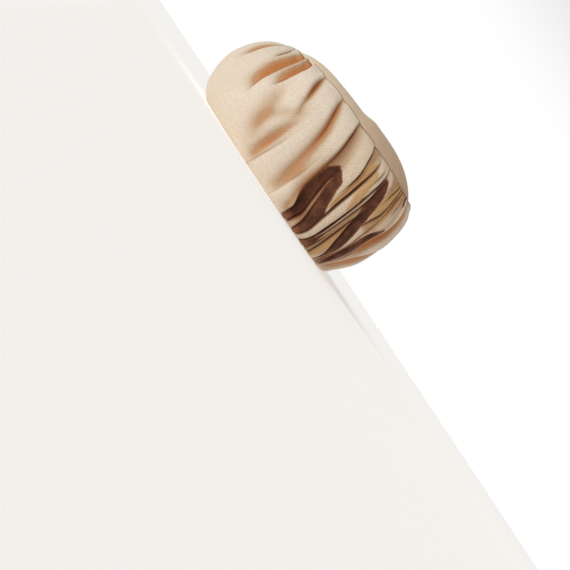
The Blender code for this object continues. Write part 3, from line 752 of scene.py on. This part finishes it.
def panel_cloth():
    rises = side_rises(PANEL_ROW)
    low, high = TUCK_RISES
    under = ease(rises, low, low + TUCK_EASE) * (1 - ease(rises, high - TUCK_EASE, high))
    tuck = (-GAP + (TUCK + GAP) * under) / MM_PER_DEGREE
    first = fold_value(FRONT_BORDER.turn, rises) - tuck
    last = fold_value(BACK_BORDER.turn, rises) + tuck
    turns = side_turns(PANEL_FOLDS, rises, first, last, lambda turn: PANEL_COLUMN)
    return side_cloth(turns, rises, False)


def linear(hex_colour):
    """sRGB hex colour to linear light, with full alpha."""
    channels = [int(hex_colour[i:i + 2], 16) / 255 for i in (1, 3, 5)]
    return tuple(c / 12.92 if c <= 0.04045 else ((c + 0.055) / 1.055) ** 2.4
                 for c in channels) + (1.0,)


def feed(tree, node, inputs):
    """Sets a node's inputs, each to a number, a colour, a node or a node's output."""
    for key, value in inputs.items():
        if isinstance(value, bpy.types.Node):
            value = value.outputs[0]
        if isinstance(value, bpy.types.NodeSocket):
            tree.links.new(value, node.inputs[key])
        else:
            node.inputs[key].default_value = value


def add_node(tree, kind, settings=None, inputs=None):
    """Adds a shader node with its settings, and sets its inputs."""
    item = tree.nodes.new("ShaderNode" + kind)
    for key, value in (settings or {}).items():
        setattr(item, key, value)
    feed(tree, item, inputs or {})
    return item


def new_material(name):
    material = bpy.data.materials.new(name)
    material.use_nodes = True
    tree = material.node_tree
    shader = tree.nodes["Principled BSDF"]
    return material, tree, shader


# Silk crepe: plain weave of hard twisted threads about 0.25 mm apart, which pull
# the cloth into a fine pebble. The eye sees a matt cloth with faint ribs on the
# bias and a soft bloom where it turns away. The ribs are drawn 1.8 mm apart and
# the pebble 2.4 mm, the finest that the render shows.
RIB_PITCH = 1.8
PEBBLE = 2.4
CLOUD = 38.0               # slow drift of the dyed shade, mm
BIAS = 56.0                # degrees from the rim's line to the ribs
RIB_WANDER = 5.0           # how far the ribs stray from straight lines, mm

# Settings that several nodes share
MULTIPLY = {"operation": "MULTIPLY"}
SMOOTH = {"interpolation_type": "SMOOTHSTEP"}
BLEND = {"data_type": "RGBA"}
# multiplies painted shade into a colour
PAINTED_SHADE_MIX = {"data_type": "RGBA", "blend_type": "MULTIPLY"}


def weave_height(tree, cloth):
    """Height of the ribs and of the finer threads that cross them."""
    wander = add_node(tree, "TexNoise", None, {"Vector": cloth, "Scale": 0.12, "Detail": 2.0})
    shift = add_node(tree, "VectorMath", {"operation": "SCALE"},
                     {0: wander.outputs["Color"], "Scale": RIB_WANDER})
    moved = add_node(tree, "VectorMath", {"operation": "ADD"}, {0: cloth, 1: shift})
    on_bias = add_node(tree, "VectorRotate", {"rotation_type": "Z_AXIS"},
                       {"Vector": moved, "Angle": math.radians(-BIAS)})
    axes = add_node(tree, "SeparateXYZ", None, {0: on_bias})
    waves = []
    for axis in (0, 1):
        turns = add_node(tree, "Math", MULTIPLY,
                         {0: axes.outputs[axis], 1: 2 * math.pi / RIB_PITCH})
        waves.append(add_node(tree, "Math", {"operation": "SINE"}, {0: turns}))
    warp, ribs = waves
    low_warp = add_node(tree, "Math", MULTIPLY, {0: warp, 1: 0.45})
    woven = add_node(tree, "Math", {"operation": "ADD"}, {0: ribs, 1: low_warp})
    patches = add_node(tree, "TexNoise", None, {"Vector": cloth, "Scale": 0.09, "Detail": 2.0})
    shown = add_node(tree, "MapRange", None, {"Value": patches, "From Min": 0.35,
                                              "From Max": 0.65, "To Min": 0.25, "To Max": 1.0})
    return add_node(tree, "Math", MULTIPLY, {0: woven, 1: shown})


def crepe_finish(tree, shader, colour, cloth):
    """Relief, painted weave shade, slow drift of tone and soft gloss shared by all the crepe."""
    threads = add_node(tree, "Math", MULTIPLY, {0: weave_height(tree, cloth), 1: 0.4})
    pebble = add_node(tree, "TexNoise", None, {"Vector": cloth, "Scale": 1 / PEBBLE,
                                               "Detail": 4.0, "Roughness": 0.65})
    rough = add_node(tree, "Math", {"operation": "SUBTRACT"}, {0: pebble, 1: 0.5})
    pebbled = add_node(tree, "Math", MULTIPLY, {0: rough, 1: 2.6})
    height = add_node(tree, "Math", {"operation": "ADD"}, {0: threads, 1: pebbled})
    bump = add_node(tree, "Bump", None, {"Height": height, "Strength": 0.5, "Distance": 0.0003})
    # painted shade of the weave: the colour is darker where the threads lie low, lighter where
    # they stand up
    painted_weave_shade = add_node(tree, "MapRange", None, {"Value": height, "From Min": -0.9,
                                              "From Max": 0.9, "To Min": 0.86, "To Max": 1.14})
    cloud = add_node(tree, "TexNoise", None, {"Vector": cloth, "Scale": 1 / CLOUD,
                                              "Detail": 2.0})
    drift = add_node(tree, "MapRange", None, {"Value": cloud, "From Min": 0.3,
                                              "From Max": 0.7, "To Min": 0.97, "To Max": 1.03})
    shade = add_node(tree, "Math", MULTIPLY, {0: painted_weave_shade, 1: drift})
    shaded = add_node(tree, "VectorMath", {"operation": "SCALE"}, {0: colour, "Scale": shade})
    feed(tree, shader, {"Base Color": shaded, "Normal": bump, "Roughness": 0.72,
                        "Specular IOR Level": 0.15, "Sheen Weight": 0.06,
                        "Sheen Roughness": 0.45, "Sheen Tint": linear("#F6E3D2")})


HALF_DEEP = "#BA9B7B"      # painted shade of the crepe half way down a fold
CREASE_HALO = "#A97C58"    # painted shade on both sides of a crease, and in the folds of the print


def painted_fold_shade(tree, low, light, deep):
    """Painted shade: from the lit cloth through tan to amber, by the depth of the fold."""
    shallow = add_node(tree, "MapRange", None, {"Value": low, "From Min": 0.0, "From Max": 0.5})
    deeper = add_node(tree, "MapRange", None, {"Value": low, "From Min": 0.4, "From Max": 1.0})
    tan = add_node(tree, "Mix", BLEND, {0: shallow, 6: linear(light), 7: linear(HALF_DEEP)})
    amber = add_node(tree, "Mix", BLEND, {0: deeper, 6: tan.outputs[2], 7: linear(deep)})
    return amber.outputs[2]


def shaded_crease(tree, colour, line):
    """Painted shade in the crease: a brown halo, and a dark line inside it."""
    crease = add_node(tree, "Attribute", {"attribute_name": "crease"}).outputs["Fac"]
    halo = add_node(tree, "MapRange", None, {"Value": crease, "From Min": 0.0,
                                             "From Max": 0.5, "To Max": 0.65})
    core = add_node(tree, "MapRange", None, {"Value": crease, "From Min": 0.25,
                                             "From Max": 0.9, "To Max": 0.9})
    haloed = add_node(tree, "Mix", PAINTED_SHADE_MIX, {0: halo, 6: colour, 7: linear(CREASE_HALO)})
    lined = add_node(tree, "Mix", BLEND, {0: core, 6: haloed.outputs[2], 7: linear(line)})
    return lined.outputs[2]


def plain_crepe(name, light, deep, line):
    """Peach crepe, undyed, with painted shade in its folds and creases."""
    material, tree, shader = new_material(name)
    cloth = add_node(tree, "Attribute", {"attribute_name": "weave"}).outputs["Vector"]
    low = add_node(tree, "Attribute", {"attribute_name": "low"}).outputs["Fac"]
    colour = painted_fold_shade(tree, low, light, deep)
    crepe_finish(tree, shader, shaded_crease(tree, colour, line), cloth)
    return material


# Dye printed on the silk and steamed in: the eye sees matt strokes with the weave
# showing through, ragged where the dye ran along the threads, in a paler shade at
# the edge than in the core. The places and the softness are millimetres from the edge.
Dye = namedtuple("Dye", "name rim core rim_at core_at soft strength")
DYES = (
    # the wash is partly tan dye and partly painted shade on the ground
    Dye("wash_and_shade", "#B39069", "#A9845B", 0.0, -2.0, 1.6, 0.6),
    Dye("tan", "#C9A678", "#BD9768", 0.2, -0.9, 0.6, 0.80),
    Dye("brown", "#774630", "#4B2B1B", 0.35, -0.8, 0.5, 0.97),
)
RAGGED = 1.6               # how far the dye ran, mm
WORN_BROWN = "#A0694A"
RIM_ALONG = 16.4           # mm from the hem's free edge, along the cloth, to the rim
RIM_FADE = 12.0            # mm above the rim over which the brown is rubbed pale


def brown_wear(tree, cloth):
    """Share of paler brown: patchy all over, and more where the rim is handled."""
    patches = add_node(tree, "TexNoise", None, {"Vector": cloth, "Scale": 0.1,
                                                "Detail": 3.0, "Roughness": 0.6})
    patchy = add_node(tree, "MapRange", None, {"Value": patches, "From Min": 0.42,
                                               "From Max": 0.7, "To Max": 0.34})
    axes = add_node(tree, "SeparateXYZ", None, {0: cloth})
    rubbed = add_node(tree, "MapRange", SMOOTH,
                      {"Value": axes.outputs[1], "From Min": RIM_ALONG,
                       "From Max": RIM_ALONG + RIM_FADE, "To Min": 0.85, "To Max": 0.0})
    return add_node(tree, "Math", {"operation": "MAXIMUM"}, {0: patchy, 1: rubbed})


def printed_crepe(name, light, deep, line):
    """The same crepe with soft-edged strokes of brown and golden tan dye, and painted shade."""
    material, tree, shader = new_material(name)
    cloth = add_node(tree, "Attribute", {"attribute_name": "weave"}).outputs["Vector"]
    low = add_node(tree, "Attribute", {"attribute_name": "low"}).outputs["Fac"]
    colour = painted_fold_shade(tree, low, light, deep)
    threads = add_node(tree, "TexNoise", None, {"Vector": cloth, "Scale": 0.7, "Detail": 3.0})
    ragged = add_node(tree, "Math", {"operation": "SUBTRACT"}, {0: threads, 1: 0.5})
    spread = add_node(tree, "Math", MULTIPLY, {0: ragged, 1: RAGGED})
    paler = brown_wear(tree, cloth)
    for dye in DYES:
        outside = add_node(tree, "Attribute", {"attribute_name": dye.name}).outputs["Fac"]
        edge = add_node(tree, "Math", {"operation": "ADD"}, {0: outside, 1: spread})
        for shade, start in ((dye.rim, dye.rim_at), (dye.core, dye.core_at)):
            inside = add_node(tree, "MapRange", SMOOTH,
                              {"Value": edge, "From Min": start - dye.soft,
                               "From Max": start + dye.soft,
                               "To Min": dye.strength, "To Max": 0.0})
            tone = linear(shade)
            if dye.name == "brown":
                worn = add_node(tree, "Mix", BLEND, {0: paler, 6: tone, 7: linear(WORN_BROWN)})
                tone = worn.outputs[2]
            dyed = add_node(tree, "Mix", BLEND, {0: inside, 6: colour, 7: tone})
            colour = dyed.outputs[2]
    # painted shade in the folds, laid over the dyes as well
    halo = add_node(tree, "Math", MULTIPLY, {0: low, 1: 0.8})
    haloed = add_node(tree, "Mix", PAINTED_SHADE_MIX, {0: halo, 6: colour, 7: linear(CREASE_HALO)})
    crepe_finish(tree, shader, shaded_crease(tree, haloed.outputs[2], line), cloth)
    return material


def add_object(name, data):
    item = bpy.data.objects.new(name, data)
    bpy.context.scene.collection.objects.link(item)
    return item


def add_piece(name, cloth, material, node):
    mesh = cloth_mesh(name, cloth)
    mesh.materials.append(material)
    item = add_object(name, mesh)
    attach(item, "root")
    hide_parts(node)
    return item


# Colours of each cloth: as lit, as painted shade deep in a fold, and as painted shade in the
# line of a crease
PEACH_SHADES = ("#DCCEBC", "#BA7A48", "#7A4418")
PRINT_SHADES = ("#D3C1A9", "#A2744A", "#3B2013")
CROWN_SHADES = ("#E6D3B8", "#B98A5E", "#8A5F38")


def make_hat():
    side = plain_crepe("peach_silk_crepe", *PEACH_SHADES)
    print_cloth = printed_crepe("printed_silk_crepe", *PRINT_SHADES)
    tip = plain_crepe("crown_silk_crepe", *CROWN_SHADES)
    drape = add_piece("draped_side", drape_cloth(), side, "side_drape")
    panel = add_piece("gathered_panel", panel_cloth(), print_cloth,
                      "printed_panel")
    crown = add_piece("crown_cushion", tip_cloth(), tip, "crown_tip")


FLOOR_RADIUS = 4.0         # metres
FLOOR_GAP = 0.0002         # metres below the rim
FLOOR_GLOW = 0.35          # the floor is a light table
DIM_SKY = 0.42             # strength of the room's light where it is dimmed
WHITE = (1.0, 1.0, 1.0, 1.0)

# Camera: where the photograph was taken from, in the hat's own frame
CAMERA_DISTANCE = 620.0    # mm from the hat's axis
CAMERA_HEIGHT = 15.0       # mm above the rim
IMAGE_SIZE = 570.0         # pixels
FOCAL_PIXELS = 729.4
SENSOR = 36.0              # mm
RIM_CENTRE_BACK = -94.4    # pixels from the image's middle, towards the hat's back
RIM_CENTRE_UP = 38.7       # pixels, towards the hat's crown
TILT = 56.2                # degrees that the hat leans back in the image


def turned(vector, axis, angle):
    return Matrix.Rotation(angle, 3, axis) @ vector


def make_camera():
    data = bpy.data.cameras.new("camera")
    data.sensor_width = SENSOR
    data.lens = FOCAL_PIXELS * SENSOR / IMAGE_SIZE
    data.clip_start = 0.01
    data.clip_end = 50.0
    camera = add_object("camera", data)
    reach = math.sqrt(CAMERA_DISTANCE ** 2 - CAMERA_HEIGHT ** 2)
    centre = Vector((AXIS_X, AXIS_Y, 0.0)) * MM
    eye = centre + Vector((reach, 0.0, CAMERA_HEIGHT)) * MM
    ahead = (centre - eye).normalized()
    back = ahead.cross(Vector((0, 0, 1))).normalized()
    up = back.cross(ahead)
    pan = math.atan(RIM_CENTRE_BACK / FOCAL_PIXELS)
    ahead, back = turned(ahead, up, pan), turned(back, up, pan)
    lift = -math.atan(RIM_CENTRE_UP / math.hypot(FOCAL_PIXELS, RIM_CENTRE_BACK))
    ahead, up = turned(ahead, back, lift), turned(up, back, lift)
    tilt = math.radians(TILT)
    right = back * math.cos(tilt) + up * math.sin(tilt)
    above = up * math.cos(tilt) - back * math.sin(tilt)
    axes = Matrix((right, above, -ahead)).transposed()
    camera.matrix_world = Matrix.Translation(eye) @ axes.to_4x4()
    bpy.context.scene.camera = camera


def add_light(name, kind, where, aim, power, colour, size):
    """A soft light; size is an area light's width or a sun's angle."""
    data = bpy.data.lights.new(name, kind)
    data.energy = power
    data.color = linear(colour)[:3]
    if kind == "SUN":
        data.angle = size
    else:
        data.shape = "DISK"
        data.size = size
    light = add_object(name, data)
    light.location = where
    light.rotation_euler = (Vector(aim) - Vector(where)).to_track_quat("-Z", "Y").to_euler()


def make_world():
    """Pale room: a white wall beyond the hat's right side, softer light elsewhere."""
    world = bpy.data.worlds.new("pale_studio")
    world.use_nodes = True
    bpy.context.scene.world = world
    tree = world.node_tree
    where = add_node(tree, "TexCoord")
    axes = add_node(tree, "SeparateXYZ", None, {0: where.outputs["Generated"]})
    level = add_node(tree, "MapRange", SMOOTH,
                     {"Value": axes.outputs[2], "From Min": 0.3, "From Max": 0.6,
                      "To Min": 1.0, "To Max": DIM_SKY})
    side = add_node(tree, "MapRange", SMOOTH,
                    {"Value": axes.outputs[0], "From Min": -0.75, "From Max": -0.1,
                     "To Min": 1.0, "To Max": DIM_SKY})
    strength = add_node(tree, "Math", MULTIPLY, {0: level, 1: side})
    feed(tree, tree.nodes["Background"], {"Color": WHITE, "Strength": strength})


def make_floor():
    """Matt white paper on a light table: an even pale ground that lights the hem."""
    bpy.ops.mesh.primitive_circle_add(vertices=96, radius=FLOOR_RADIUS, fill_type="NGON",
                                      location=(0, 0, -FLOOR_GAP))
    floor = bpy.context.object
    floor.name = "studio_floor"
    material, tree, shader = new_material("pale_paper")
    feed(tree, shader, {"Base Color": linear("#F4F2EE"), "Roughness": 0.95,
                        "Specular IOR Level": 0.1, "Emission Color": WHITE,
                        "Emission Strength": FLOOR_GLOW})
    floor.data.materials.append(material)


def make_lights():
    """Soft key light from the hat's front left, and a warm fill from behind it."""
    add_light("key", "SUN", (0.9, -0.68, 0.6), (0, 0, 0), 1.88, "#FFFCF8", math.radians(35))
    add_light("warm_fill", "AREA", (0.35, 1.1, 0.25), (0, 0, 0.05), 0.95, "#FFB06A", 0.5)
    bpy.context.scene.view_settings.view_transform = "Standard"


def main():
    make_camera()
    make_world()
    make_floor()
    make_lights()
    make_hat()


main()
